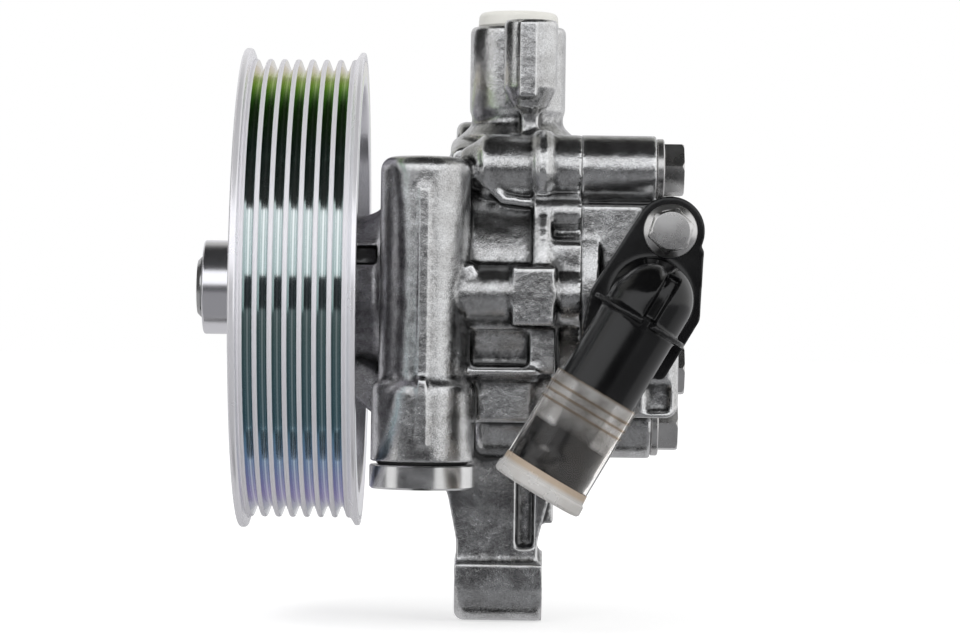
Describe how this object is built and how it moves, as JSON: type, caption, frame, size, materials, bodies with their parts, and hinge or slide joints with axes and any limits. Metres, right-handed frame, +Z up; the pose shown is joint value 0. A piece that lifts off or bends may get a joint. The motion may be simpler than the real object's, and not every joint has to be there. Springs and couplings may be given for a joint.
{
  "type": "power steering pump",
  "caption": "Belt-driven vane pump with a ribbed pulley, a cast housing with a valve tower and an upright outlet port, mounting ears, and a side elbow spigot with a clear cap.",
  "frame": {"origin": "on the shaft axis, at the middle of the belt's width on the pulley", "axes": "+X along the shaft from the pulley to the rear cover, +Y from the valve tower's side through the shaft to the far side, +Z up towards the outlet port"},
  "size_m": [0.1264, 0.1216, 0.1542],
  "materials": {
    "cast_aluminium": "die cast, fine grain, satin",
    "plated_steel": "turned and zinc plated",
    "bright_steel": "fine turned, bright",
    "hardened_steel": "ground",
    "spring_steel": "drawn wire, satin",
    "bronze": "sintered, satin",
    "black_rubber": "smooth, matt",
    "cage_nylon": "moulded, matt",
    "black_plastic": "moulded, satin",
    "white_plastic": "moulded, semi-gloss",
    "clear_plastic": "moulded, translucent"
  },
  "bodies": {
    "housing": {"front_housing": "cast_aluminium", "rear_housing": "cast_aluminium", "housing_seal": "black_rubber", "bearing_outer_ring": "hardened_steel", "bearing_circlip": "spring_steel", "shaft_oil_seal": "black_rubber", "rear_bush": "bronze", "cam_ring": "hardened_steel", "cam_dowel_pins": "hardened_steel", "front_side_plate": "hardened_steel", "rear_side_plate": "hardened_steel", "side_plate_o_ring": "black_rubber", "valve_plug": "bright_steel", "valve_plug_o_ring": "black_rubber", "valve_spring": "spring_steel", "cover_bolts": "plated_steel", "bolt_washers": "plated_steel", "suction_elbow": "black_plastic", "elbow_o_ring": "black_rubber", "elbow_bolt": "plated_steel"},
    "shaft": {"pulley": "plated_steel", "drive_shaft": "hardened_steel", "bearing_inner_ring": "hardened_steel", "rotor": "hardened_steel", "rotor_snap_ring": "spring_steel"},
    "cage": {"bearing_balls": "hardened_steel", "bearing_cage": "cage_nylon"},
    "spool": {"valve_spool": "hardened_steel", "relief_seat": "hardened_steel", "relief_spring": "spring_steel"},
    "relief": {"relief_ball": "hardened_steel"},
    "cap": {"suction_cap": "clear_plastic"},
    "plug": {"outlet_plug": "white_plastic"},
    "vane_01": {"vane_01": "hardened_steel"},
    "vane_02": {"vane_02": "hardened_steel"},
    "vane_03": {"vane_03": "hardened_steel"},
    "vane_04": {"vane_04": "hardened_steel"},
    "vane_05": {"vane_05": "hardened_steel"},
    "vane_06": {"vane_06": "hardened_steel"},
    "vane_07": {"vane_07": "hardened_steel"},
    "vane_08": {"vane_08": "hardened_steel"},
    "vane_09": {"vane_09": "hardened_steel"},
    "vane_10": {"vane_10": "hardened_steel"}
  },
  "joints": [
    {"name": "shaft_spin", "type": "hinge", "parent": "housing", "child": "shaft", "pos_m": [0, 0, 0], "axis": [1, 0, 0], "continuous": true},
    {"name": "cage_spin", "type": "hinge", "parent": "housing", "child": "cage", "pos_m": [0.027, 0, 0], "axis": [1, 0, 0], "continuous": true},
    {"name": "vane_01_slide", "type": "slide", "parent": "shaft", "child": "vane_01", "axis": [0, 0.9511, 0.309], "range_m": [-0.0004, 0.00034]},
    {"name": "vane_02_slide", "type": "slide", "parent": "shaft", "child": "vane_02", "axis": [0, 0.5878, 0.809], "range_m": [-0.0004, 0.00187]},
    {"name": "vane_03_slide", "type": "slide", "parent": "shaft", "child": "vane_03", "axis": [0, 0, 1], "range_m": [-0.0004, 0.00302]},
    {"name": "vane_04_slide", "type": "slide", "parent": "shaft", "child": "vane_04", "axis": [0, -0.5878, 0.809], "range_m": [-0.0004, 0.00187]},
    {"name": "vane_05_slide", "type": "slide", "parent": "shaft", "child": "vane_05", "axis": [0, -0.9511, 0.309], "range_m": [-0.0004, 0.00034]},
    {"name": "vane_06_slide", "type": "slide", "parent": "shaft", "child": "vane_06", "axis": [0, -0.9511, -0.309], "range_m": [-0.0004, 0.00034]},
    {"name": "vane_07_slide", "type": "slide", "parent": "shaft", "child": "vane_07", "axis": [0, -0.5878, -0.809], "range_m": [-0.0004, 0.00187]},
    {"name": "vane_08_slide", "type": "slide", "parent": "shaft", "child": "vane_08", "axis": [0, 0, -1], "range_m": [-0.0004, 0.00302]},
    {"name": "vane_09_slide", "type": "slide", "parent": "shaft", "child": "vane_09", "axis": [0, 0.5878, -0.809], "range_m": [-0.0004, 0.00187]},
    {"name": "vane_10_slide", "type": "slide", "parent": "shaft", "child": "vane_10", "axis": [0, 0.9511, -0.309], "range_m": [-0.0004, 0.00034]},
    {"name": "valve_slide", "type": "slide", "parent": "housing", "child": "spool", "axis": [0, 0, -1], "range_m": [0, 0.006], "stiffness_N_per_m": 5000, "springref_m": -0.004, "deforming": ["valve_spring"]},
    {"name": "relief_slide", "type": "slide", "parent": "spool", "child": "relief", "axis": [0, 0, 1], "range_m": [0, 0.001], "stiffness_N_per_m": 4000, "springref_m": -0.002, "deforming": ["relief_spring"]},
    {"name": "cap_pull", "type": "slide", "parent": "housing", "child": "cap", "axis": [-0.5045, 0, -0.8634], "range_m": [0, 0.03]},
    {"name": "plug_pull", "type": "slide", "parent": "housing", "child": "plug", "axis": [0, 0, 1], "range_m": [0, 0.016]}
  ],
  "couplings": [
    {"joint": "cage_spin", "follows": "shaft_spin", "ratio": 0.40846}
  ]
}
